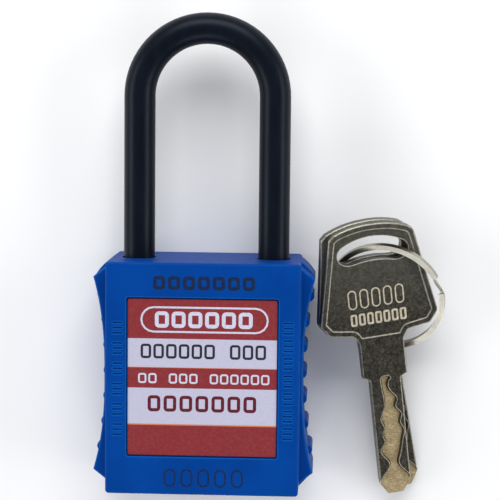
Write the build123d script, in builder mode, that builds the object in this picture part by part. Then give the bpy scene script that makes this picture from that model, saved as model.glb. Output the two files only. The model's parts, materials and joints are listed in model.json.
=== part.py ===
from build123d import *
import os
from math import atan2, cos, radians, sin

os.makedirs("parts", exist_ok=True)

# Safety padlock lying on its back, with its two keys on a split ring beside it.
# Millimetres. +X to the right, +Y towards the shackle, +Z out of the front face.
# The origin is the centre of the back face, which rests on the surface z = 0.

# ---------------------------------------------------------------- driving dimensions
shackle_diameter = 6.0
shackle_inside_width = 20.0
shackle_clearance = 41.0
shackle_lift = 11.5

body_length = 44.4
body_depth = 20.0
plate_half_width = 18.4
plate_corner_radius = 0.7
plate_edge_radius = 0.45

ear_half_width = 21.1
ear_waist_half_width = 18.95
ear_top_y = 19.0
ear_bottom_y = -18.3
ear_face_z = 16.65
ear_step_z = 12.3
ear_back_z = 3.3

rib_count = 7
rib_pitch = 5.0
rib_centre_y = 0.25
rib_radius = 1.05
rib_height = 0.75

label_width = 28.2
label_length = 29.9
label_centre_y = 0.35
label_thickness = 0.5
label_recess_depth = 0.8
label_gap = 0.3

case_half_width = 16.9
case_half_depth = 7.0
case_fit = 0.1
case_top_y = 19.4
case_bottom_y = -20.3
cover_inner_y = -20.4

plug_radius = 4.3
plug_front_y = -21.8
plug_back_y = 2.2
housing_radius = 6.05
housing_front_y = -20.2
running_clearance = 0.05
keyway_width = 6.3
keyway_thickness = 2.5

wafer_count = 6
wafer_pitch = 3.2
first_wafer_y = -17.6
wafer_width = 4.0
wafer_height = 7.5
wafer_thickness = 0.7
spring_pocket_x = 2.6
spring_pocket_width = 1.4
spring_pocket_height = 4.4

latch_bottom_y = 15.0
latch_thickness = 3.6
latch_width = 5.2
latch_nose_x = 10.7
latch_tail_x = 3.3
latch_travel = 3.2
peg_radius = 0.7
peg_locked_x = 4.7

key_thickness = 2.0
key_gap = 0.1
key_blade_half_width = 3.1
key_shoulder = (34.85, 0, 8.85)
key_side_slope = 0.20
key_rise_slope = 0.145
key_heading = 8.5
key_fan = 3.5
lower_key_slip = (-0.9, 0.2)
fan_pivot = (0.5, 24.3)

ring_centre = (2.39, 14.28, -3.61)
ring_side_slope = 0.506
ring_rise_slope = 0.247
ring_mean_radius = 11.07
ring_wire_width = 1.0
ring_wire_thickness = 0.53
ring_coil_gap = 0.03

# ---------------------------------------------------------------- derived dimensions
half_length = body_length / 2
mid_z = body_depth / 2
leg_radius = shackle_diameter / 2
leg_x = shackle_inside_width / 2 + leg_radius
bow_centre_y = half_length + shackle_clearance - shackle_inside_width / 2
leg_bore_radius = leg_radius + 0.3
pocket_half_width = case_half_width + case_fit
pocket_half_depth = case_half_depth + case_fit
main_bore_radius = housing_radius + running_clearance
cam_radius = main_bore_radius - 0.08
latch_top_y = latch_bottom_y + latch_thickness


def level(y, x=0):
    """Plane across the lock at height y, centred on x: local x is +X and local y is -Z."""
    return Plane(origin=(x, y, mid_z), x_dir=(1, 0, 0), z_dir=(0, 1, 0))


def finish(piece, name):
    """Label a finished piece and write it to its own STEP file."""
    piece.part.label = name
    export_step(piece.part, f"parts/{name}.step")


def waist(y):
    """Half width of the waisted sides at height y, in the moulded curve's own form."""
    reach = ear_top_y if y > 0 else -ear_bottom_y
    return ear_waist_half_width + (ear_half_width - ear_waist_half_width) * (abs(y) / reach) ** 2.5


# ---------------------------------------------------------------- body shell
side_curve_steps = 12
side_curve = []
for step in range(side_curve_steps + 1):
    side_y = ear_bottom_y + (ear_top_y - ear_bottom_y) * step / side_curve_steps
    side_curve.append((waist(side_y), side_y))

shoulder_slope = 0.79
shoulder_inner_x = 17.5
shoulder_run = ear_half_width - shoulder_inner_x

with BuildPart() as front_ears:
    with BuildSketch(Plane.XY.offset(ear_step_z)):
        with BuildLine():
            Spline(side_curve)
            Polyline(
                (ear_half_width, ear_top_y),
                (shoulder_inner_x, ear_top_y + shoulder_slope * shoulder_run),
                (shoulder_inner_x, ear_bottom_y - shoulder_slope * shoulder_run),
                (ear_half_width, ear_bottom_y),
            )
        make_face()
        mirror(about=Plane.YZ)
    extrude(amount=ear_face_z - ear_step_z)
    chamfer(front_ears.edges().group_by(Axis.Z)[-1], 0.2)

back_shoulder_x = 18.1
back_shoulder_sag = 0.25
back_shoulder_top = (back_shoulder_x, half_length - 0.1)
back_shoulder_bottom = (back_shoulder_x, -half_length + 0.1)
with BuildPart() as back_ears:
    with BuildSketch(Plane.XY.offset(ear_back_z)):
        with BuildLine():
            Spline(side_curve)
            SagittaArc((ear_half_width, ear_top_y), back_shoulder_top, -back_shoulder_sag)
            Line(back_shoulder_top, back_shoulder_bottom)
            SagittaArc(back_shoulder_bottom, (ear_half_width, ear_bottom_y), -back_shoulder_sag)
        make_face()
        mirror(about=Plane.YZ)
    extrude(amount=ear_step_z - ear_back_z)

with BuildPart() as side_ribs:
    with BuildSketch(Plane.XY.offset(ear_back_z)):
        for number in range(rib_count):
            rib_y = rib_centre_y + (number - (rib_count - 1) / 2) * rib_pitch
            rib_x = waist(rib_y) + rib_height - rib_radius
            with Locations((rib_x, rib_y), (-rib_x, rib_y)):
                Circle(rib_radius)
    extrude(amount=ear_step_z - ear_back_z)
    fillet(side_ribs.edges().group_by(Axis.Z)[-1], 0.3)

# columns of sunk marks: x of the column, number of marks and their pitch
mark_columns = ((-16.05, 6, 3.9), (16.25, 7, 3.36))
mark_width = 1.9
mark_bar = 0.35
mark_bar_pitch = 0.98
mark_depth = 0.3
groove_width = 0.6
groove_depth = 0.4
with BuildPart() as body_shell:
    with BuildSketch(Plane.XY):
        RectangleRounded(2 * plate_half_width, body_length, plate_corner_radius)
    extrude(amount=body_depth)
    fillet(body_shell.edges().group_by(Axis.Z)[0], plate_edge_radius)
    fillet(body_shell.edges().group_by(Axis.Z)[-1], plate_edge_radius)
    add(front_ears.part)
    add(back_ears.part)
    add(side_ribs.part)
    # pocket for the lock case, open at the bottom end
    with BuildSketch(level(-half_length)):
        RectangleRounded(2 * pocket_half_width, 2 * pocket_half_depth, 0.8)
    extrude(amount=half_length + case_top_y + case_fit, mode=Mode.SUBTRACT)
    # holes for the two shackle legs in the top wall
    with BuildSketch(level(half_length)):
        with Locations((-leg_x, 0), (leg_x, 0)):
            Circle(leg_bore_radius)
    extrude(amount=-(half_length - case_top_y + 1), mode=Mode.SUBTRACT)
    # recess for the front label
    with BuildSketch(Plane.XY.offset(body_depth)):
        with Locations((0, label_centre_y)):
            RectangleRounded(label_width + 2 * label_gap, label_length + 2 * label_gap, 0.5)
    extrude(amount=-label_recess_depth, mode=Mode.SUBTRACT)
    # columns of plain triple bars sunk in the front face beside the label
    with BuildSketch(Plane.XY.offset(body_depth)):
        for column_x, count, pitch in mark_columns:
            for number in range(count):
                mark_y = (number - (count - 1) / 2) * pitch
                for bar in (-1, 0, 1):
                    with Locations((column_x, mark_y + bar * mark_bar_pitch)):
                        RectangleRounded(mark_width, mark_bar, mark_bar / 2 - 0.01)
    extrude(amount=-mark_depth, mode=Mode.SUBTRACT)
    # shallow groove framing the plain back panel
    with BuildSketch(Plane.XY):
        with Locations((0, label_centre_y)):
            RectangleRounded(label_width + 2 * groove_width, label_length + 2 * groove_width, 0.9)
            RectangleRounded(label_width, label_length, 0.5, mode=Mode.SUBTRACT)
    extrude(amount=groove_depth, mode=Mode.SUBTRACT)
finish(body_shell, "body_shell")

# ---------------------------------------------------------------- front label
with BuildPart() as front_label:
    with BuildSketch(Plane.XY.offset(body_depth - label_recess_depth)):
        with Locations((0, label_centre_y)):
            RectangleRounded(label_width, label_length, 0.35)
    extrude(amount=label_thickness)
finish(front_label, "front_label")

# ---------------------------------------------------------------- bottom cover and its screw
screw_head_radius = 2.6
screw_head_height = 2.0
screw_radius = 1.5
screw_head_top_y = 11.0
screw_end_y = -21.4
cover_opening_radius = plug_radius + 0.35
with BuildPart() as bottom_cover:
    with BuildSketch(level(-half_length)):
        RectangleRounded(2 * case_half_width, 2 * case_half_depth, 0.7)
        Circle(cover_opening_radius, mode=Mode.SUBTRACT)
    extrude(amount=half_length + cover_inner_y)
    with BuildSketch(level(cover_inner_y, leg_x)):
        Circle(screw_radius + 0.02)
    extrude(amount=-(cover_inner_y - screw_end_y + 0.1), mode=Mode.SUBTRACT)
    chamfer(bottom_cover.edges().filter_by(GeomType.CIRCLE).group_by(Axis.Y)[0], 0.4)
finish(bottom_cover, "bottom_cover")

with BuildPart() as case_screw:
    with BuildSketch(level(screw_head_top_y, leg_x)):
        Circle(screw_head_radius)
    extrude(amount=-screw_head_height)
    with BuildSketch(level(screw_head_top_y, leg_x)):
        Circle(screw_radius)
    extrude(amount=screw_end_y - screw_head_top_y)
    with BuildSketch(level(screw_head_top_y, leg_x)):
        RegularPolygon(1.3, 6)
    extrude(amount=-1.2, mode=Mode.SUBTRACT)
    chamfer(case_screw.edges().filter_by(GeomType.CIRCLE).group_by(Axis.Y)[0], 0.3)
finish(case_screw, "case_screw")

# ---------------------------------------------------------------- lock case
toe_bore_end_y = 11.2
heel_bore_end_y = -19.2
chamber_top_y = 14.9
heel_pin_radius = 1.0
heel_pin_y = 4.0
heel_neck_radius = 2.0
heel_pin_x = -(leg_x - heel_neck_radius - heel_pin_radius - 0.25)
with BuildPart() as lock_case:
    with BuildSketch(level(case_bottom_y)):
        RectangleRounded(2 * case_half_width, 2 * case_half_depth, 0.7)
    extrude(amount=case_top_y - case_bottom_y)
    # bore for the cam and the cylinder, open at the bottom
    with BuildSketch(level(case_bottom_y)):
        Circle(main_bore_radius)
    extrude(amount=chamber_top_y - case_bottom_y, mode=Mode.SUBTRACT)
    # leg bores: the heel's is long, the toe's is short
    with BuildSketch(level(case_top_y, -leg_x)):
        Circle(leg_bore_radius)
    extrude(amount=heel_bore_end_y - case_top_y, mode=Mode.SUBTRACT)
    with BuildSketch(level(case_top_y, leg_x)):
        Circle(leg_bore_radius)
    extrude(amount=toe_bore_end_y - case_top_y, mode=Mode.SUBTRACT)
    # counterbored hole for the screw under the toe
    with BuildSketch(level(toe_bore_end_y, leg_x)):
        Circle(screw_head_radius + 0.1)
    extrude(amount=-(toe_bore_end_y - screw_head_top_y + screw_head_height), mode=Mode.SUBTRACT)
    with BuildSketch(level(toe_bore_end_y, leg_x)):
        Circle(screw_radius + 0.1)
    extrude(amount=case_bottom_y - toe_bore_end_y, mode=Mode.SUBTRACT)
    # channel in which the two latches slide, from leg bore to leg bore
    with BuildSketch(level(latch_bottom_y - 0.1)):
        Rectangle(2 * leg_x, latch_width + 0.2)
    extrude(amount=latch_thickness + 0.2, mode=Mode.SUBTRACT)
    # cross hole for the heel pin
    with BuildSketch(Plane.XY.offset(mid_z - case_half_depth)):
        with Locations((heel_pin_x, heel_pin_y)):
            Circle(heel_pin_radius + 0.02)
    extrude(amount=2 * case_half_depth, mode=Mode.SUBTRACT)
finish(lock_case, "lock_case")

with BuildPart() as heel_pin:
    with BuildSketch(Plane.XY.offset(mid_z - case_half_depth)):
        with Locations((heel_pin_x, heel_pin_y)):
            Circle(heel_pin_radius)
    extrude(amount=2 * case_half_depth)
    chamfer(heel_pin.edges().filter_by(GeomType.CIRCLE), 0.2)
finish(heel_pin, "heel_pin")

# ---------------------------------------------------------------- shackle
toe_end_y = 11.6
heel_end_y = -11.5
heel_foot_top_y = -9.0
heel_neck_top_y = 6.5
notch_depth = 0.8
notch_low_y = latch_bottom_y - 2.0
notch_high_y = latch_top_y + 0.15
notch_reach = 2.0
with BuildPart() as shackle:
    with BuildLine(Plane.XY.offset(mid_z)) as shackle_path:
        Line((-leg_x, heel_end_y), (-leg_x, bow_centre_y))
        RadiusArc((-leg_x, bow_centre_y), (leg_x, bow_centre_y), leg_x)
        Line((leg_x, bow_centre_y), (leg_x, toe_end_y))
    with BuildSketch(level(heel_end_y, -leg_x)):
        Circle(leg_radius)
    sweep(path=shackle_path.wire())
    chamfer(shackle.edges().filter_by(GeomType.CIRCLE).group_by(Axis.Y)[0], 0.5)
    chamfer(shackle.faces().filter_by(Plane.XZ).sort_by(Axis.X)[-1].edges(), 0.5)
    # latch notches on the inner side of both legs, with sloping lower flanks
    with BuildSketch(Plane.XY.offset(mid_z - leg_radius - 0.5)):
        with BuildLine():
            Polyline(
                (leg_x - leg_radius, notch_low_y),
                (leg_x - leg_radius + notch_depth, notch_low_y + notch_depth),
                (leg_x - leg_radius + notch_depth, notch_high_y),
                (leg_x - leg_radius - notch_reach, notch_high_y),
                (leg_x - leg_radius - notch_reach, notch_low_y),
                close=True,
            )
        make_face()
        mirror(about=Plane.YZ)
    extrude(amount=shackle_diameter + 1, mode=Mode.SUBTRACT)
    # neck that the heel pin runs in, above the heel's foot
    with BuildSketch(level(heel_foot_top_y, -leg_x)):
        Circle(leg_radius + 0.5)
        Circle(heel_neck_radius, mode=Mode.SUBTRACT)
    extrude(amount=heel_neck_top_y - heel_foot_top_y, mode=Mode.SUBTRACT)
finish(shackle, "shackle")

# ---------------------------------------------------------------- shackle spring
spring_wire_radius = 0.35
spring_mean_radius = 2.3
spring_bottom_y = heel_bore_end_y + spring_wire_radius + 0.05
spring_top_y = heel_end_y - spring_wire_radius - 0.05
spring_turns = 8
with BuildPart() as shackle_spring:
    with BuildLine() as spring_path:
        Helix(
            pitch=(spring_top_y - spring_bottom_y) / spring_turns,
            height=spring_top_y - spring_bottom_y,
            radius=spring_mean_radius,
            center=(-leg_x, spring_bottom_y, mid_z),
            direction=(0, 1, 0),
        )
    with BuildSketch(Plane(origin=spring_path.line @ 0, z_dir=spring_path.line % 0)):
        Circle(spring_wire_radius)
    sweep(path=spring_path.line, is_frenet=True)
finish(shackle_spring, "shackle_spring")

# ---------------------------------------------------------------- cylinder housing and plug
groove_reach = 5.3
housing_collar = 1.5
with BuildPart() as cylinder_housing:
    with BuildSketch(level(housing_front_y)):
        Circle(housing_radius)
        Circle(plug_radius + running_clearance, mode=Mode.SUBTRACT)
        Rectangle(wafer_width + 0.4, 2 * groove_reach, mode=Mode.SUBTRACT)
    extrude(amount=plug_back_y - housing_front_y - housing_collar)
    with BuildSketch(level(plug_back_y - housing_collar)):
        Circle(housing_radius)
        Circle(plug_radius + running_clearance, mode=Mode.SUBTRACT)
    extrude(amount=housing_collar)
finish(cylinder_housing, "cylinder_housing")

tail_radius = 2.2
clip_groove_radius = 1.8
clip_bottom_y = plug_back_y + 0.2
clip_thickness = 0.7
clip_radius = 4.6
clip_mouth = 2.6
tail_shoulder_y = 3.8
tail_square = 3.0
tail_end_y = 7.4
keyway_end_y = 1.0
with BuildPart() as plug:
    with BuildSketch(level(plug_front_y)):
        Circle(plug_radius)
    extrude(amount=plug_back_y - plug_front_y)
    with BuildSketch(level(plug_back_y)):
        Circle(tail_radius)
    extrude(amount=tail_shoulder_y - plug_back_y)
    with BuildSketch(level(tail_shoulder_y)):
        Rectangle(tail_square, tail_square)
    extrude(amount=tail_end_y - tail_shoulder_y)
    chamfer(plug.edges().filter_by(GeomType.CIRCLE).group_by(Axis.Y)[0], 0.3)
    # keyway
    with BuildSketch(level(plug_front_y)):
        Rectangle(keyway_thickness, keyway_width)
    extrude(amount=keyway_end_y - plug_front_y, mode=Mode.SUBTRACT)
    # cross slots for the wafers, with a side pocket for each wafer's spring
    for number in range(wafer_count):
        with BuildSketch(level(first_wafer_y + number * wafer_pitch - 0.05)):
            Rectangle(wafer_width + 0.1, 2 * plug_radius + 1)
            with Locations((spring_pocket_x, 0)):
                Rectangle(spring_pocket_width, spring_pocket_height)
        extrude(amount=wafer_thickness + 0.1, mode=Mode.SUBTRACT)
    # groove for the retaining clip
    with BuildSketch(level(clip_bottom_y)):
        Circle(tail_radius + 0.5)
        Circle(clip_groove_radius, mode=Mode.SUBTRACT)
    extrude(amount=clip_thickness + 0.1, mode=Mode.SUBTRACT)
finish(plug, "plug")

with BuildPart() as plug_clip:
    with BuildSketch(level(clip_bottom_y + 0.05)):
        Circle(clip_radius)
        Circle(clip_groove_radius + 0.05, mode=Mode.SUBTRACT)
        with Locations((clip_radius / 2 + 0.5, 0)):
            Rectangle(clip_radius + 1, clip_mouth, mode=Mode.SUBTRACT)
    extrude(amount=clip_thickness)
finish(plug_clip, "plug_clip")

# ---------------------------------------------------------------- wafers and their springs
wafer_window_width = keyway_thickness + 0.2
wafer_window_height = keyway_width
tooth_size = 0.55
tooth_height = 0.7
tooth_step = 0.35
wafer_lug_z = 1.5
wafer_lug_width = 1.2
wafer_lug_height = 0.5
wafer_spring_x = 2.65
wafer_spring_radius = 0.3
wafer_spring_wire = 0.09
wafer_spring_length = 2.8
wafer_spring_pitch = 0.7
for number in range(wafer_count):
    wafer_y = first_wafer_y + number * wafer_pitch
    tooth_z = (-1) ** number * tooth_step * (number % 3)
    with BuildPart() as wafer:
        with BuildSketch(level(wafer_y)):
            Rectangle(wafer_width, wafer_height)
            Rectangle(wafer_window_width, wafer_window_height, mode=Mode.SUBTRACT)
            with Locations((-(wafer_window_width - tooth_size) / 2, tooth_z)):
                Rectangle(tooth_size, tooth_height)
            with Locations((spring_pocket_x, wafer_lug_z)):
                Rectangle(wafer_lug_width, wafer_lug_height)
        extrude(amount=wafer_thickness)
    finish(wafer, f"wafer_{number + 1}")

    spring_y = wafer_y + wafer_thickness / 2
    with BuildPart() as wafer_spring:
        with BuildLine() as wafer_spring_path:
            Helix(
                pitch=wafer_spring_pitch,
                height=wafer_spring_length,
                radius=wafer_spring_radius - wafer_spring_wire,
                center=(wafer_spring_x, spring_y, mid_z - 1.1),
                direction=(0, 0, 1),
            )
        wafer_wire = wafer_spring_path.line
        with BuildSketch(Plane(origin=wafer_wire @ 0, z_dir=wafer_wire % 0)):
            Circle(wafer_spring_wire)
        sweep(path=wafer_wire, is_frenet=True)
    finish(wafer_spring, f"wafer_spring_{number + 1}")

# ---------------------------------------------------------------- cam with two spiral slots
cam_disc_bottom_y = 12.0
cam_disc_top_y = 14.8
cam_hub_bottom_y = 4.0
cam_hub_radius = 3.5
slot_floor_y = 12.9
slot_half_width = peg_radius + 0.12
slot_turns = (0, 11, 22, 34, 45, 56, 67, 79, 90)


def spiral_point(start, turn, side_step):
    """Point on a slot that draws a latch peg in evenly as the cam turns by turn degrees.

    side_step is how far the point lies from the slot's middle line, square to it.
    """
    distance = peg_locked_x - latch_travel * turn / 90
    angle = radians(start - turn)
    square = angle - atan2(latch_travel / radians(90), distance)
    return (
        distance * cos(angle) + side_step * cos(square),
        distance * sin(angle) + side_step * sin(square),
    )


with BuildPart() as cam:
    with BuildSketch(level(cam_hub_bottom_y)):
        Circle(cam_hub_radius)
    extrude(amount=cam_disc_bottom_y - cam_hub_bottom_y)
    with BuildSketch(level(cam_disc_bottom_y)):
        Circle(cam_radius)
    extrude(amount=cam_disc_top_y - cam_disc_bottom_y)
    with BuildSketch(level(cam_hub_bottom_y)):
        Rectangle(tail_square + 0.1, tail_square + 0.1)
    extrude(amount=tail_end_y + 0.2 - cam_hub_bottom_y, mode=Mode.SUBTRACT)
    with BuildSketch(level(slot_floor_y)):
        for start in (0, 180):
            inner_wall = [spiral_point(start, turn, -slot_half_width) for turn in slot_turns]
            outer_wall = [spiral_point(start, turn, slot_half_width) for turn in slot_turns]
            with BuildLine():
                Spline(inner_wall)
                Spline(outer_wall)
                Line(inner_wall[0], outer_wall[0])
                Line(inner_wall[-1], outer_wall[-1])
            make_face()
            with Locations(spiral_point(start, 0, 0), spiral_point(start, 90, 0)):
                Circle(slot_half_width)
    extrude(amount=cam_disc_top_y - slot_floor_y + 0.1, mode=Mode.SUBTRACT)
finish(cam, "cam")

# ---------------------------------------------------------------- latches
peg_bottom_y = 13.1
for side, latch_name in ((1, "latch_toe"), (-1, "latch_heel")):
    with BuildPart() as latch:
        with BuildSketch(Plane.XY.offset(mid_z - latch_width / 2)):
            with BuildLine():
                Polyline(
                    (side * latch_tail_x, latch_bottom_y),
                    (side * (latch_nose_x - 0.7), latch_bottom_y),
                    (side * latch_nose_x, latch_bottom_y + 0.7),
                    (side * latch_nose_x, latch_top_y),
                    (side * latch_tail_x, latch_top_y),
                    close=True,
                )
            make_face()
        extrude(amount=latch_width)
        with BuildSketch(level(peg_bottom_y)):
            with Locations((side * peg_locked_x, 0)):
                Circle(peg_radius)
        extrude(amount=latch_bottom_y - peg_bottom_y)
    finish(latch, latch_name)

# ---------------------------------------------------------------- keys
# The keys lie on the ring with their left sides and their heads raised. In a key's own
# frame the origin is the middle of the shoulder on the top face, and +Y is to the head.
heading = radians(key_heading)
key_frame = Plane(
    origin=key_shoulder,
    x_dir=(cos(heading), sin(heading), key_rise_slope * sin(heading) - key_side_slope * cos(heading)),
    z_dir=(key_side_slope, -key_rise_slope, 1),
)


def fanned_frame(depth, fan, slip):
    """Frame of a key lying depth below the top one, fanned out about the ring and slipped along it."""
    layer = key_frame.offset(-depth)
    turn = radians(fan)
    shift_x = fan_pivot[0] * (1 - cos(turn)) + fan_pivot[1] * sin(turn) + slip[0]
    shift_y = fan_pivot[1] * (1 - cos(turn)) - fan_pivot[0] * sin(turn) + slip[1]
    return Plane(
        origin=layer.from_local_coords((shift_x, shift_y, 0)),
        x_dir=layer.x_dir * cos(turn) + layer.y_dir * sin(turn),
        z_dir=layer.z_dir,
    )


# face of a key: arched trapezoid head, neck, shoulders and blade
with BuildSketch() as key_outline:
    with BuildLine():
        ThreePointArc((0, 30.1), (4.0, 29.75), (7.3, 28.75))
        FilletPolyline(
            (7.3, 28.75),
            (8.3, 27.9),
            (11.6, 11.2),
            (9.9, 8.9),
            (5.3, 8.2),
            (4.4, 6.6),
            (4.4, -0.6),
            (key_blade_half_width, -1.2),
            (key_blade_half_width, -22.9),
            (1.55, -25.4),
            (0, -25.4),
            radius=(0.6, 1.2, 1.2, 0.8, 0.8, 0.3, 0.3, 0.3, 0.4),
        )
        mirror(about=Plane.YZ)
    make_face()

# slot in the head: arched above, with a low bump below
with BuildSketch() as ring_slot:
    with BuildLine():
        ThreePointArc((-6.2, 26.0), (0, 27.7), (6.2, 26.0))
        ThreePointArc((6.2, 26.0), (6.95, 24.6), (6.6, 23.3))
        Spline(
            (6.6, 23.3), (5.0, 22.5), (2.6, 22.8), (0, 23.0),
            (-2.6, 22.8), (-5.0, 22.5), (-6.6, 23.3),
        )
        ThreePointArc((-6.6, 23.3), (-6.95, 24.6), (-6.2, 26.0))
    make_face()

# wandering track milled in each face of the blade, open at the tip
track_left_wall = [
    (-1.0, -1.1), (-0.85, -3.7), (-0.95, -7.6), (-1.65, -9.7),
    (-1.15, -11.4), (-1.6, -12.9), (-1.3, -14.1), (-2.25, -15.9),
    (-0.8, -19.0), (-2.0, -21.0), (-3.3, -23.6),
]
track_right_wall = [
    (1.1, -1.1), (1.15, -4.3), (1.9, -5.8), (1.45, -7.0),
    (2.5, -8.8), (2.1, -10.4), (2.7, -12.1), (2.4, -13.7),
    (1.45, -17.4), (1.05, -18.8), (2.2, -20.8), (3.3, -23.6),
]
track_wall_run = 0.32


def stepped_in(wall, step):
    """Points of a track's wall moved sideways by step, for the track's floor."""
    return [(x + step, y) for x, y in wall]


with BuildSketch() as milled_track:
    with BuildLine():
        ThreePointArc(track_left_wall[0], (0, -0.5), track_right_wall[0])
        Spline(track_left_wall)
        Spline(track_right_wall)
        Polyline(track_left_wall[-1], (-3.3, -26), (3.3, -26), track_right_wall[-1])
    make_face()

# the same track at its floor, where it is narrower
floor_left_wall = stepped_in(track_left_wall, track_wall_run)
floor_right_wall = stepped_in(track_right_wall, -track_wall_run)
with BuildSketch() as track_floor:
    with BuildLine():
        ThreePointArc(floor_left_wall[0], (0, -0.85), floor_right_wall[0])
        Spline(floor_left_wall)
        Spline(floor_right_wall)
        Polyline(floor_left_wall[-1], (-3, -26), (3, -26), floor_right_wall[-1])
    make_face()

key_edge_chamfer = 0.15
rim_width = 1.1
recess_depth = 0.12
recess_end_y = 7.7
track_depth = 0.7
for key_name, frame in (
    ("key_upper", key_frame),
    ("key_lower", fanned_frame(key_thickness + key_gap, key_fan, lower_key_slip)),
):
    underside_origin = frame.offset(-key_thickness).origin
    underside = Plane(origin=underside_origin, x_dir=-frame.x_dir, z_dir=-frame.z_dir)
    with BuildPart() as key:
        with BuildSketch(frame):
            add(key_outline.sketch)
            add(ring_slot.sketch, mode=Mode.SUBTRACT)
        extrude(amount=-key_thickness)
        for face_frame in (frame, underside):
            outer_face = key.faces().sort_by(Axis(frame.origin, face_frame.z_dir))[-1]
            chamfer(outer_face.outer_wire().edges(), key_edge_chamfer)
        for face_frame in (frame, underside):
            with BuildSketch(face_frame):
                add(key_outline.sketch)
                offset(amount=-rim_width, kind=Kind.INTERSECTION)
                with Locations((0, recess_end_y)):
                    Rectangle(40, 80, align=(Align.CENTER, Align.MAX), mode=Mode.SUBTRACT)
            extrude(amount=-recess_depth, mode=Mode.SUBTRACT)
            with BuildSketch(face_frame):
                add(milled_track.sketch)
            with BuildSketch(face_frame.offset(-track_depth)):
                add(track_floor.sketch)
            loft(ruled=True, mode=Mode.SUBTRACT)
    finish(key, key_name)

# ---------------------------------------------------------------- split ring of two coils
ring_frame = Plane(
    origin=key_frame.from_local_coords(ring_centre),
    x_dir=key_frame.x_dir + key_frame.z_dir * ring_side_slope,
    z_dir=key_frame.z_dir - key_frame.x_dir * ring_side_slope - key_frame.y_dir * ring_rise_slope,
)
coil_height = (ring_wire_thickness + ring_coil_gap) / 2
seam_angle = 12
joggle_half_angle = 9
joggle_length = radians(2 * joggle_half_angle) * ring_mean_radius
joggle_overlap_angle = 1


def on_ring(angle, height):
    """Point on the middle of a coil, in the ring's frame."""
    turn = radians(angle)
    return (ring_mean_radius * cos(turn), ring_mean_radius * sin(turn), height)


def along_ring(angle):
    """Direction in which the wire runs at that angle, in the ring's frame."""
    return (-sin(radians(angle)), cos(radians(angle)), 0)


with BuildPart() as key_ring:
    for side in (1, -1):
        with BuildSketch(ring_frame.offset(side * coil_height - ring_wire_thickness / 2)):
            Circle(ring_mean_radius + ring_wire_width / 2)
            Circle(ring_mean_radius - ring_wire_width / 2, mode=Mode.SUBTRACT)
            with Locations(Location((0, 0), seam_angle)):
                Rectangle(
                    2 * ring_mean_radius,
                    joggle_length,
                    align=(Align.MIN, Align.CENTER),
                    mode=Mode.SUBTRACT,
                )
        extrude(amount=ring_wire_thickness)
    # joggle that carries the wire from the upper coil down to the lower one
    joggle_reach = joggle_half_angle + joggle_overlap_angle
    with BuildLine(ring_frame) as joggle_path:
        Spline(
            on_ring(seam_angle - joggle_reach, coil_height),
            on_ring(seam_angle + joggle_reach, -coil_height),
            tangents=[along_ring(seam_angle - joggle_reach), along_ring(seam_angle + joggle_reach)],
        )
    with BuildSketch(Plane(
        origin=joggle_path.line @ 0,
        x_dir=ring_frame.z_dir,
        z_dir=joggle_path.line % 0,
    )):
        Rectangle(ring_wire_thickness, ring_wire_width)
    sweep(path=joggle_path.line, normal=ring_frame.z_dir)
finish(key_ring, "key_ring")
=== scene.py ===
import json
from math import cos, pi, radians, sin

import bpy
from mathutils import Matrix, Vector


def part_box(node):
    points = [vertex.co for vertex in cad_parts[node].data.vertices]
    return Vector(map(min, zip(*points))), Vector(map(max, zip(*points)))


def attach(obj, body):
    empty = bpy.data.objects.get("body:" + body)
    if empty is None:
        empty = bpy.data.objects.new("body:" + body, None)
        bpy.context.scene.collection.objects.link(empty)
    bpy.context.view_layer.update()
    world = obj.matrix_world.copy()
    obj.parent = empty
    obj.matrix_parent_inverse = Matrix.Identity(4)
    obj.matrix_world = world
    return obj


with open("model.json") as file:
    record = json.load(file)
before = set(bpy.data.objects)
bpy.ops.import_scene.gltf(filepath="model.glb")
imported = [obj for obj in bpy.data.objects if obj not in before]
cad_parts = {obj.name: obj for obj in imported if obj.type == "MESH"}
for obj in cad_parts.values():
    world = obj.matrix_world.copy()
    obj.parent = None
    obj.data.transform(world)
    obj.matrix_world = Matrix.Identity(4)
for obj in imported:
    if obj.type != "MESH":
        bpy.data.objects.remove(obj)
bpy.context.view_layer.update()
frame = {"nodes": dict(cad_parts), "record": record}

# Finish, print and light for a safety padlock and its two keys. Metres, in the CAD
# frame: +X to the right, +Y to the shackle's bow, +Z out of the front face.
# Sizes with MM after them are in millimetres.

MM = 0.001

# ---------------------------------------------------------------- where the faces are
LABEL_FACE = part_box("front_label")[1].z
FRONT_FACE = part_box("body_shell")[1].z
# print starts a little under the face that it is on and ends this far over it
PRINT_SINK = 0.01 * MM
PRINT_THICKNESS = 0.012 * MM
BODY_PRINT_THICKNESS = 0.004 * MM
# the ears are the parts of the body further than this from the middle, in metres
EAR_START = 18.45 * MM

# the keys' frame: origin at the middle of the shoulder on the top face, +Y to the head
KEY_SHOULDER = Vector((34.85, 0, 8.85)) * MM
KEY_SIDE_SLOPE = 0.20
KEY_RISE_SLOPE = 0.145
KEY_HEADING = radians(8.5)
KEY_THICKNESS = 2.0 * MM
KEY_LAYER = 2.1 * MM
KEY_FAN = radians(3.5)
FAN_PIVOT = Vector((0.5, 24.3, 0)) * MM
LOWER_KEY_SLIP = Vector((-0.9, 0.2, 0)) * MM
KEY_RECESS = 0.12 * MM


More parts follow.
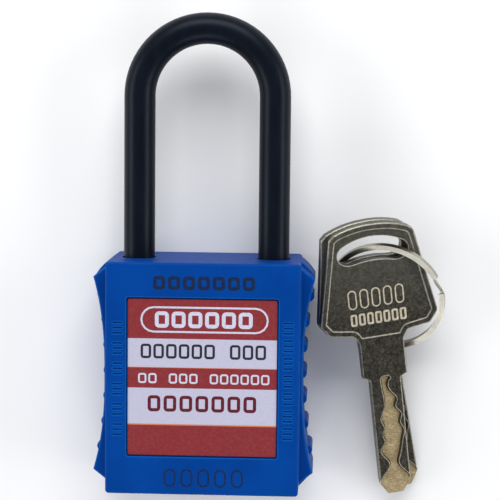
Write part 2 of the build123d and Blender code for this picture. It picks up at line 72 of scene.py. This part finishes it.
def key_frame(depth, fan, slip):
    """Matrix of a key depth under the top one, fanned out about the ring and slipped along it."""
    out = Vector((KEY_SIDE_SLOPE, -KEY_RISE_SLOPE, 1)).normalized()
    across = Vector((
        cos(KEY_HEADING),
        sin(KEY_HEADING),
        KEY_RISE_SLOPE * sin(KEY_HEADING) - KEY_SIDE_SLOPE * cos(KEY_HEADING),
    )).normalized()
    along = out.cross(across)
    lie = Matrix((across, along, out)).transposed().to_4x4()
    lie.translation = KEY_SHOULDER
    turn = (
        Matrix.Translation(FAN_PIVOT + slip)
        @ Matrix.Rotation(fan, 4, "Z")
        @ Matrix.Translation(-FAN_PIVOT)
    )
    return lie @ Matrix.Translation((0, 0, -depth)) @ turn


KEY_FRAMES = {
    "key_upper": key_frame(0, 0, Vector()),
    "key_lower": key_frame(KEY_LAYER, KEY_FAN, LOWER_KEY_SLIP),
}


# ---------------------------------------------------------------- building materials
class Look:
    """A procedural material, with short names for the nodes that it is made of."""

    def __init__(self, name, **constants):
        self.material = bpy.data.materials.new(name)
        self.material.use_nodes = True
        self.tree = self.material.node_tree
        self.shader = self.tree.nodes["Principled BSDF"]
        for socket, value in constants.items():
            self.shader.inputs[socket.replace("_", " ")].default_value = value
        self.coordinates = self.node("ShaderNodeTexCoord")
        self.place = self.coordinates.outputs["Object"]

    def node(self, kind, **settings):
        made = self.tree.nodes.new(kind)
        for name, value in settings.items():
            setattr(made, name, value)
        return made

    def feed(self, socket, source):
        """Links a socket to another one, or gives it a constant."""
        if isinstance(source, bpy.types.NodeSocket):
            self.tree.links.new(source, socket)
        elif isinstance(source, tuple) and len(source) == 3 and socket.type == "RGBA":
            socket.default_value = (*source, 1)
        else:
            socket.default_value = source

    def maths(self, operation, *values, clamp=False):
        made = self.node("ShaderNodeMath", operation=operation, use_clamp=clamp)
        for socket, value in zip(made.inputs, values):
            self.feed(socket, value)
        return made.outputs[0]

    def parts(self, vector):
        """The three parts of a vector."""
        made = self.node("ShaderNodeSeparateXYZ")
        self.feed(made.inputs[0], vector)
        return made.outputs

    def local_place(self, matrix):
        """Coordinates in a tilted frame, in millimetres."""
        made = self.node("ShaderNodeMapping", vector_type="TEXTURE")
        self.feed(made.inputs["Vector"], self.place)
        made.inputs["Location"].default_value = matrix.translation
        made.inputs["Rotation"].default_value = matrix.to_euler()
        made.inputs["Scale"].default_value = (MM, MM, MM)
        return made.outputs[0]

    def noise(self, size, detail=2.0, roughness=0.5, stretch=(1, 1, 1), offset=0.0):
        """Smooth noise with features about size millimetres across."""
        spread = self.node("ShaderNodeMapping")
        self.feed(spread.inputs["Vector"], self.place)
        spread.inputs["Location"].default_value = (offset, offset, offset)
        spread.inputs["Scale"].default_value = [1 / (size * MM * s) for s in stretch]
        made = self.node("ShaderNodeTexNoise")
        self.feed(made.inputs["Vector"], spread.outputs[0])
        made.inputs["Scale"].default_value = 1
        made.inputs["Detail"].default_value = detail
        made.inputs["Roughness"].default_value = roughness
        return made.outputs[0]

    def spread(self, source, low, high, bottom=0.0, top=1.0):
        """Maps low..high to bottom..top and stops there."""
        made = self.node("ShaderNodeMapRange", clamp=True)
        for name, value in (
            ("Value", source), ("From Min", low), ("From Max", high),
            ("To Min", bottom), ("To Max", top),
        ):
            self.feed(made.inputs[name], value)
        return made.outputs[0]

    def mix(self, factor, first, second):
        """Colour from first to second as factor goes from 0 to 1."""
        made = self.node("ShaderNodeMix", data_type="RGBA")
        self.feed(made.inputs[0], factor)
        self.feed(made.inputs[6], first)
        self.feed(made.inputs[7], second)
        return made.outputs[2]

    def edges(self, radius, sharpest=0.12):
        """1 on the edges of the shape and 0 on its flats, for worn or lit edges."""
        rounded = self.node("ShaderNodeBevel", samples=6)
        rounded.inputs["Radius"].default_value = radius * MM
        real = self.node("ShaderNodeNewGeometry").outputs["Normal"]
        dot = self.node("ShaderNodeVectorMath", operation="DOT_PRODUCT")
        self.feed(dot.inputs[0], rounded.outputs[0])
        self.feed(dot.inputs[1], real)
        return self.spread(dot.outputs["Value"], 0.995, 1 - sharpest)

    def relief(self, height, depth, edge_radius=0.0):
        """Surface grain depth millimetres deep, over edges rounded by edge_radius."""
        made = self.node("ShaderNodeBump")
        made.inputs["Strength"].default_value = 1
        made.inputs["Distance"].default_value = depth * MM
        self.feed(made.inputs["Height"], height)
        if edge_radius:
            rounded = self.node("ShaderNodeBevel", samples=6)
            rounded.inputs["Radius"].default_value = edge_radius * MM
            self.feed(made.inputs["Normal"], rounded.outputs[0])
        self.feed(self.shader.inputs["Normal"], made.outputs[0])

    def colour(self, source):
        self.feed(self.shader.inputs["Base Color"], source)

    def roughness(self, source):
        self.feed(self.shader.inputs["Roughness"], source)


# ---------------------------------------------------------------- the plastics
def blue_nylon():
    look = Look("blue_nylon", Specular_IOR_Level=0.35, IOR=1.28, Specular_Tint=(0.22, 0.55, 1.0, 1.0))
    grain = look.noise(0.28, detail=3, roughness=0.7)
    cloud = look.noise(9, detail=2)
    base = look.mix(look.spread(cloud, 0.35, 0.65), (0.0004, 0.043, 0.255), (0.0008, 0.051, 0.290))
    speckled = look.mix(look.spread(grain, 0.60, 0.78, 0, 0.45), base, (0.004, 0.075, 0.36))
    dark = look.mix(look.spread(grain, 0.40, 0.26, 0, 0.5), speckled, (0.0003, 0.024, 0.165))
    # the front faces of the ears are painted a darker blue: painted shade
    x = look.parts(look.place)[0]
    beyond = look.maths("GREATER_THAN", look.maths("ABSOLUTE", x), EAR_START)
    up = look.parts(look.coordinates.outputs["Normal"])[2]
    ear_painted_shade = look.maths("MULTIPLY", beyond, look.spread(up, 0.8, 0.95))
    toned = look.mix(look.maths("MULTIPLY", ear_painted_shade, 0.15), dark, (0.0004, 0.022, 0.17))
    # lighter blue along the edges: a painted highlight
    look.colour(look.mix(look.maths("MULTIPLY", look.edges(0.42), 0.8), toned, (0.006, 0.135, 0.52)))
    look.roughness(look.spread(grain, 0.3, 0.7, 0.42, 0.58))
    look.relief(grain, 0.018, edge_radius=0.12)
    return look.material


def black_nylon():
    look = Look("black_nylon", Specular_IOR_Level=0.15, IOR=1.5, Specular_Tint=(0.8, 0.88, 1.0, 1.0))
    grain = look.noise(0.35, detail=3, roughness=0.7)
    streak = look.noise(1.6, detail=2, stretch=(1, 6, 1))
    base = look.mix(look.spread(streak, 0.35, 0.65), (0.0013, 0.0027, 0.0068), (0.0026, 0.0047, 0.0105))
    look.colour(look.mix(look.spread(grain, 0.58, 0.75, 0, 0.4), base, (0.008, 0.012, 0.022)))
    look.roughness(look.spread(grain, 0.3, 0.7, 0.30, 0.42))
    look.relief(grain, 0.012)
    return look.material


RED = (0.230, 0.025, 0.028)
WHITE = (0.500, 0.495, 0.63)
ORANGE = (0.62, 0.20, 0.09)
SMUDGE = (0.30, 0.19, 0.24)
# lower edge of each band of the label in millimetres, from the bottom up
LABEL_BANDS = (
    (-15.0, RED), (-8.85, ORANGE), (-8.69, WHITE), (-1.69, RED),
    (2.09, ORANGE), (2.25, WHITE), (7.71, RED),
)
LABEL_TOP = 16.0


def label_print():
    """Printed plate: red and white bands with a thin orange line under each white one."""
    look = Look("label_print", Specular_IOR_Level=0.2, IOR=1.5)
    height = look.parts(look.place)[1]
    bands = look.node("ShaderNodeValToRGB")
    bands.color_ramp.interpolation = "CONSTANT"
    bottom = LABEL_BANDS[0][0]
    look.feed(bands.inputs[0], look.spread(height, bottom * MM, LABEL_TOP * MM))
    stops = bands.color_ramp.elements
    while len(stops) < len(LABEL_BANDS):
        stops.new(1.0)
    for stop, (low, colour) in zip(stops, LABEL_BANDS):
        stop.position = (low - bottom) / (LABEL_TOP - bottom)
        stop.color = (*colour, 1)
    fleck = look.noise(0.5, detail=3, roughness=0.7)
    look.colour(look.mix(look.spread(fleck, 0.45, 0.8, 0, 0.16), bands.outputs[0], SMUDGE))
    look.roughness(look.spread(look.noise(3, detail=3), 0.3, 0.7, 0.32, 0.48))
    look.relief(look.noise(1.2, detail=2), 0.006, edge_radius=0.06)
    return look.material


def ink(name, colour, other, shine=0.2):
    """A printed ink whose tone and gloss vary a little."""
    look = Look(name, Specular_IOR_Level=shine)
    patch = look.noise(0.45, detail=3, roughness=0.65)
    look.colour(look.mix(look.spread(patch, 0.3, 0.72), colour, other))
    look.roughness(look.spread(patch, 0.3, 0.7, 0.38, 0.55))
    look.relief(patch, 0.003)
    return look.material


# ---------------------------------------------------------------- the metals
def metal(name, colour, worn, grain, roughness, stretch=(1, 1, 1), depth=0.006):
    """A plain metal with grain, a slow change of tone and brighter worn edges."""
    look = Look(name, Metallic=1.0)
    fine = look.noise(grain, detail=4, roughness=0.65, stretch=stretch)
    slow = look.noise(grain * 14, detail=2)
    dark = tuple(0.72 * part for part in colour)
    toned = look.mix(look.spread(slow, 0.3, 0.7), dark, colour)
    look.colour(look.mix(look.maths("MULTIPLY", look.edges(0.15), 0.7), toned, worn))
    look.roughness(look.spread(fine, 0.3, 0.7, roughness, roughness + 0.16))
    look.relief(fine, depth)
    return look.material


# places on a key in its own frame, in millimetres: where along it the head's painted sheen
# starts and is full, where the blade starts, and half the width and height of bare brass
SHEEN_FROM_TO = (11.0, 21.0)
BLADE_START = -0.35
BARE_HALF_WIDTH = 3.02
BARE_HALF_HEIGHT = 0.93


def key_metal(node):
    """Dark tarnished nickel with a painted sheen on the head, worn bright with a painted highlight at the
    edges, over the bare brass of the track.
    """
    look = Look(f"tarnished_nickel_{node}")
    across, along, out = look.parts(look.local_place(KEY_FRAMES[node]))
    mottle = look.noise(0.7, detail=5, roughness=0.72)
    speck = look.noise(0.22, detail=2, roughness=0.6, offset=3.0)
    stain = look.noise(3.5, detail=3, offset=7.0)
    base = look.mix(look.spread(mottle, 0.38, 0.66), (0.030, 0.027, 0.020), (0.120, 0.108, 0.083))
    base = look.mix(look.spread(stain, 0.35, 0.7, 0, 0.5), base, (0.045, 0.042, 0.036))
    base = look.mix(look.spread(speck, 0.62, 0.74, 0, 0.8), base, (0.42, 0.38, 0.29))
    # the middle of the head is painted paler towards the slot: a painted sheen
    painted_sheen = look.spread(along, *SHEEN_FROM_TO, 0, 0.55)
    sheen_tone = look.mix(look.spread(mottle, 0.3, 0.7), (0.11, 0.108, 0.085), (0.19, 0.185, 0.15))
    base = look.mix(painted_sheen, base, sheen_tone)
    # edges painted bright: partly wear to bright nickel, partly a painted highlight on the chamfers
    worn = look.maths("MULTIPLY", look.edges(0.32, 0.08), look.spread(mottle, 0.3, 0.55, 0.45, 1.0))
    plate = look.mix(worn, base, (0.86, 0.82, 0.68))
    # the milled tracks and the tip's cut are bare brass
    middle = look.maths("ABSOLUTE", look.maths("ADD", out, KEY_THICKNESS / MM / 2))
    in_depth = look.maths("LESS_THAN", middle, BARE_HALF_HEIGHT)
    in_blade = look.maths("LESS_THAN", along, BLADE_START)
    in_width = look.maths("LESS_THAN", look.maths("ABSOLUTE", across), BARE_HALF_WIDTH)
    bare = look.maths("MULTIPLY", look.maths("MULTIPLY", in_depth, in_blade), in_width)
    chatter = look.noise(0.5, detail=4, roughness=0.8, stretch=(1, 0.5, 1))
    brass = look.mix(look.spread(chatter, 0.35, 0.68), (0.24, 0.175, 0.08), (0.68, 0.55, 0.32))
    lumps = look.noise(1.5, detail=3, roughness=0.6, offset=5.0)
    brass = look.mix(look.spread(lumps, 0.36, 0.6), look.mix(0.35, brass, (0.15, 0.11, 0.055)), brass)
    # the walls of the tracks are painted darker than their floor: painted shade
    facing = look.node("ShaderNodeVectorMath", operation="DOT_PRODUCT")
    look.feed(facing.inputs[0], look.coordinates.outputs["Normal"])
    facing.inputs[1].default_value = KEY_FRAMES[node].to_3x3().col[2]
    wall_painted_shade = look.spread(look.maths("ABSOLUTE", facing.outputs["Value"]), 0.9, 0.6)
    brass = look.mix(wall_painted_shade, brass, (0.085, 0.062, 0.030))
    look.colour(look.mix(bare, plate, brass))
    look.feed(look.shader.inputs["Metallic"], look.spread(bare, 0, 1, 0.85, 0.55))
    rough = look.spread(mottle, 0.3, 0.7, 0.30, 0.46)
    look.roughness(look.maths("ADD", rough, look.maths("MULTIPLY", bare, 0.2)))
    milled = look.maths("ADD", look.maths("MULTIPLY", chatter, 4.0), look.maths("MULTIPLY", lumps, 12.0))
    height = look.maths("ADD", look.maths("MULTIPLY", milled, bare), mottle)
    look.relief(height, 0.02, edge_radius=0.08)
    return look.material


LOOKS = {
    "blue_nylon": blue_nylon(),
    "black_nylon": black_nylon(),
    "label_print": label_print(),
    "die_cast_zinc": metal("die_cast_zinc", (0.42, 0.42, 0.43), (0.7, 0.7, 0.7), 0.5, 0.42, depth=0.02),
    "zinc_plated_steel": metal("zinc_plated_steel", (0.6, 0.6, 0.57), (0.8, 0.8, 0.78), 0.3, 0.26),
    "spring_steel": metal("spring_steel", (0.45, 0.45, 0.46), (0.7, 0.7, 0.7), 0.2, 0.22),
    "brass": metal("brass", (0.66, 0.48, 0.2), (0.85, 0.68, 0.36), 0.25, 0.28),
    "ring_steel": metal("ring_steel", (0.50, 0.48, 0.41), (0.74, 0.71, 0.60), 0.35, 0.24, depth=0.008),
}
NODE_LOOKS = {node: key_metal(node) for node in KEY_FRAMES}
SLOT_OF = {row["node"]: row["material_slot"] for row in frame["record"]["subparts"]}
for node, piece in frame["nodes"].items():
    piece.data.materials.clear()
    piece.data.materials.append(NODE_LOOKS.get(node) or LOOKS[SLOT_OF[node]])


# ---------------------------------------------------------------- print and engraving
def rounded(centre_x, centre_y, width, height, radius, corner_points=5):
    """Outline of a rectangle with round corners, anticlockwise, in millimetres."""
    outline = []
    for corner in range(4):
        side = 1 if corner in (0, 3) else -1
        end = 1 if corner < 2 else -1
        for step in range(corner_points):
            angle = pi / 2 * (corner + step / (corner_points - 1))
            outline.append((
                centre_x + side * (width / 2 - radius) + radius * cos(angle),
                centre_y + end * (height / 2 - radius) + radius * sin(angle),
            ))
    return outline


def frame_mark(centre_x, centre_y, width, height, stroke, radius):
    """A hollow rounded rectangle: outer and inner outline."""
    inner_radius = max(radius - stroke, 0.05)
    return (
        rounded(centre_x, centre_y, width, height, radius),
        rounded(centre_x, centre_y, width - 2 * stroke, height - 2 * stroke, inner_radius),
    )


def row(words, left, right, bottom, top, stroke, gap):
    """Words of letter-sized hollow boxes from left to right: words holds each one's length."""
    places = sum(words) + len(words) - 1
    width = (right - left - gap * (places - 1)) / places
    height = top - bottom
    shapes = []
    place = 0
    for length in words:
        for number in range(place, place + length):
            centre_x = left + width / 2 + number * (width + gap)
            shapes.append(frame_mark(centre_x, (bottom + top) / 2, width, height, stroke, 0.3 * width))
        place += length + 1
    return shapes


def inlay(name, body, shapes, lie, low, high, look):
    """Thin flat shapes on a face: lie is the face's frame, low and high are heights over it."""
    points, faces = [], []
    for outlines in shapes:
        count = len(outlines[0])
        first = len(points)
        for outline in outlines:
            for level in (low, high):
                points += [lie @ Vector((x * MM, y * MM, level)) for x, y in outline]
        rings = [range(first + k * count, first + (k + 1) * count) for k in range(2 * len(outlines))]
        for number in range(count):
            after = (number + 1) % count
            faces.append([rings[0][number], rings[0][after], rings[1][after], rings[1][number]])
            if len(outlines) == 2:
                faces.append([rings[1][number], rings[1][after], rings[3][after], rings[3][number]])
                faces.append([rings[3][number], rings[3][after], rings[2][after], rings[2][number]])
                faces.append([rings[2][number], rings[2][after], rings[0][after], rings[0][number]])
        if len(outlines) == 1:
            faces.append(list(rings[1]))
            faces.append(list(reversed(rings[0])))
    mesh = bpy.data.meshes.new(name)
    mesh.from_pydata(points, [], faces)
    mesh.validate()
    mesh.materials.append(look)
    made = bpy.data.objects.new(name, mesh)
    bpy.context.scene.collection.objects.link(made)
    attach(made, body)
    return made


def disc(centre_x, centre_y, radius, points=12):
    """A round dot: one outline."""
    return ([
        (centre_x + radius * cos(2 * pi * k / points), centre_y + radius * sin(2 * pi * k / points))
        for k in range(points)
    ],)


def dotted_zero(centre_x, centre_y, width, height, pitch, dot_radius):
    """The digit zero punched as a loop of round dots."""
    bend = width / 2
    straight = height - width
    loop = 2 * straight + 2 * pi * bend
    count = round(loop / pitch)
    dots = []
    for number in range(count):
        run = loop * number / count
        if run < straight:
            x, y = bend, run - straight / 2
        elif run < straight + pi * bend:
            angle = (run - straight) / bend
            x, y = bend * cos(angle), straight / 2 + bend * sin(angle)
        elif run < 2 * straight + pi * bend:
            x, y = -bend, straight / 2 - (run - straight - pi * bend)
        else:
            angle = (run - 2 * straight - pi * bend) / bend
            x, y = -bend * cos(angle), -straight / 2 - bend * sin(angle)
        dots.append(disc(centre_x + x, centre_y + y, dot_radius))
    return dots


WHITE_INK = ink("white_ink", (0.50, 0.50, 0.62), (0.66, 0.66, 0.80))
BLACK_INK = ink("black_ink", (0.012, 0.012, 0.022), (0.035, 0.033, 0.05))
MAROON_INK = ink("maroon_ink", (0.085, 0.008, 0.016), (0.14, 0.016, 0.028))
NAVY_INK = ink("navy_ink", (0.003, 0.012, 0.045), (0.006, 0.022, 0.085))
BRASS_CUT = ink("brass_cut", (0.34, 0.29, 0.20), (0.70, 0.63, 0.47), shine=0.6)

on_label = Matrix.Translation((0, 0, LABEL_FACE))
# a row is its words' lengths, then left, right, bottom, top, stroke and gap in millimetres
LABEL_PRINTS = {
    "label_heading_frame": ([frame_mark(0.385, 11.41, 24.23, 5.0, 0.36, 2.499)], WHITE_INK),
    "label_heading": (row([6], -8.99, 9.49, 9.85, 12.96, 0.72, 0.5), WHITE_INK),
    "label_second_row": (row([6, 3], -11.66, 12.06, 3.98, 6.76, 0.46, 0.42), BLACK_INK),
    "label_third_row": (row([2, 3, 6], -12.13, 12.75, -0.79, 1.14, 0.34, 0.36), WHITE_INK),
    "label_fourth_row": (row([7], -10.3, 10.3, -6.2, -3.1, 0.62, 0.62), MAROON_INK),
}
for name, (shapes, look) in LABEL_PRINTS.items():
    inlay(name, "lock_body", shapes, on_label, -PRINT_SINK, PRINT_THICKNESS, look)

on_front = Matrix.Translation((0, 0, FRONT_FACE))
inlay(
    "front_top_row", "lock_body", row([7], -9.34, 9.87, 17.1, 19.7, 0.7, 0.5),
    on_front, -PRINT_SINK, BODY_PRINT_THICKNESS, NAVY_INK,
)
DIGITS = 5
SERIAL_MIDDLE = (0.38, -18.92)
SERIAL_SPACING = 3.2
serial = []
for place in range(DIGITS):
    digit_x = SERIAL_MIDDLE[0] + (place - DIGITS // 2) * SERIAL_SPACING
    serial += dotted_zero(
        digit_x, SERIAL_MIDDLE[1], width=1.95, height=3.2, pitch=0.47, dot_radius=0.235,
    )
inlay(
    "front_serial", "lock_body", serial,
    on_front, -PRINT_SINK, BODY_PRINT_THICKNESS, NAVY_INK,
)

KEY_NUMBER_MIDDLE = (-0.25, 15.6)
KEY_NUMBER_SPACING = 2.32
for node, lie in KEY_FRAMES.items():
    number = []
    for place in range(DIGITS):
        digit_x = KEY_NUMBER_MIDDLE[0] + (place - DIGITS // 2) * KEY_NUMBER_SPACING
        number.append(frame_mark(
            digit_x, KEY_NUMBER_MIDDLE[1], width=1.75, height=3.9, stroke=0.26, radius=0.87,
        ))
    under, over = -KEY_RECESS - PRINT_SINK, -KEY_RECESS + PRINT_THICKNESS
    inlay(f"{node}_number", node, number, lie, under, over, BRASS_CUT)
    letters = row([7], left=-5.6, right=5.4, bottom=10.3, top=12.7, stroke=0.4, gap=0.32)
    inlay(f"{node}_row", node, letters, lie, under, over, BRASS_CUT)

# ---------------------------------------------------------------- floor, light and camera
FLOOR_SIZE = 6.0
FLOOR_DROP = 0.02 * MM
floor_look = Look("pale_floor", Roughness=0.9, Specular_IOR_Level=0.1)
floor_look.colour(floor_look.mix(floor_look.noise(30, detail=2), (0.90, 0.90, 0.90), (0.93, 0.93, 0.93)))
bpy.ops.mesh.primitive_plane_add(size=FLOOR_SIZE, location=(0, 0, -FLOOR_DROP))
floor = bpy.context.object
floor.name = "floor"
floor.data.materials.append(floor_look.material)

world = bpy.data.worlds.new("studio")
world.use_nodes = True
world.node_tree.nodes["Background"].inputs["Color"].default_value = (0.92, 0.95, 1.0, 1)
world.node_tree.nodes["Background"].inputs["Strength"].default_value = 0.36
bpy.context.scene.world = world
bpy.context.scene.view_settings.view_transform = "Standard"

LIT_POINT = Vector((0.01, 0.02, 0.01))


def soft_light(name, direction, elevation, distance, width, height, power):
    """A large square light that looks at the lock from a compass direction in degrees."""
    lamp = bpy.data.lights.new(name, "AREA")
    lamp.shape = "RECTANGLE"
    lamp.size, lamp.size_y = width, height
    lamp.energy = power
    made = bpy.data.objects.new(name, lamp)
    bpy.context.scene.collection.objects.link(made)
    turn, rise = radians(direction), radians(elevation)
    away = Vector((cos(rise) * sin(turn), cos(rise) * cos(turn), sin(rise)))
    made.location = LIT_POINT + away * distance
    made.rotation_euler = away.to_track_quat("Z", "Y").to_euler()


soft_light("light_top", 0, 38, 0.7, 0.6, 0.35, 3.6)
soft_light("light_right", 90, 28, 0.6, 0.5, 0.22, 1.35)
soft_light("light_left", -90, 28, 0.6, 0.5, 0.22, 1.35)
soft_light("light_bottom", 180, 32, 0.7, 0.5, 0.25, 1.1)

CAMERA_PLACE = Vector((23.0, 58.0, 334.6)) * MM
CAMERA_TARGET = Vector((8.4, 23.8, 10.0)) * MM
CAMERA_ROLL = radians(0.57)
CAMERA_LENS = 121.9
forward = (CAMERA_TARGET - CAMERA_PLACE).normalized()
right = forward.cross(Vector((-sin(CAMERA_ROLL), cos(CAMERA_ROLL), 0))).normalized()
up = right.cross(forward)
view = bpy.data.cameras.new("camera")
view.lens = CAMERA_LENS
view.sensor_width = 36.0
view.clip_start = 0.01
camera = bpy.data.objects.new("camera", view)
camera.matrix_world = Matrix.Translation(CAMERA_PLACE) @ Matrix((right, up, -forward)).transposed().to_4x4()
bpy.context.scene.collection.objects.link(camera)
bpy.context.scene.camera = camera
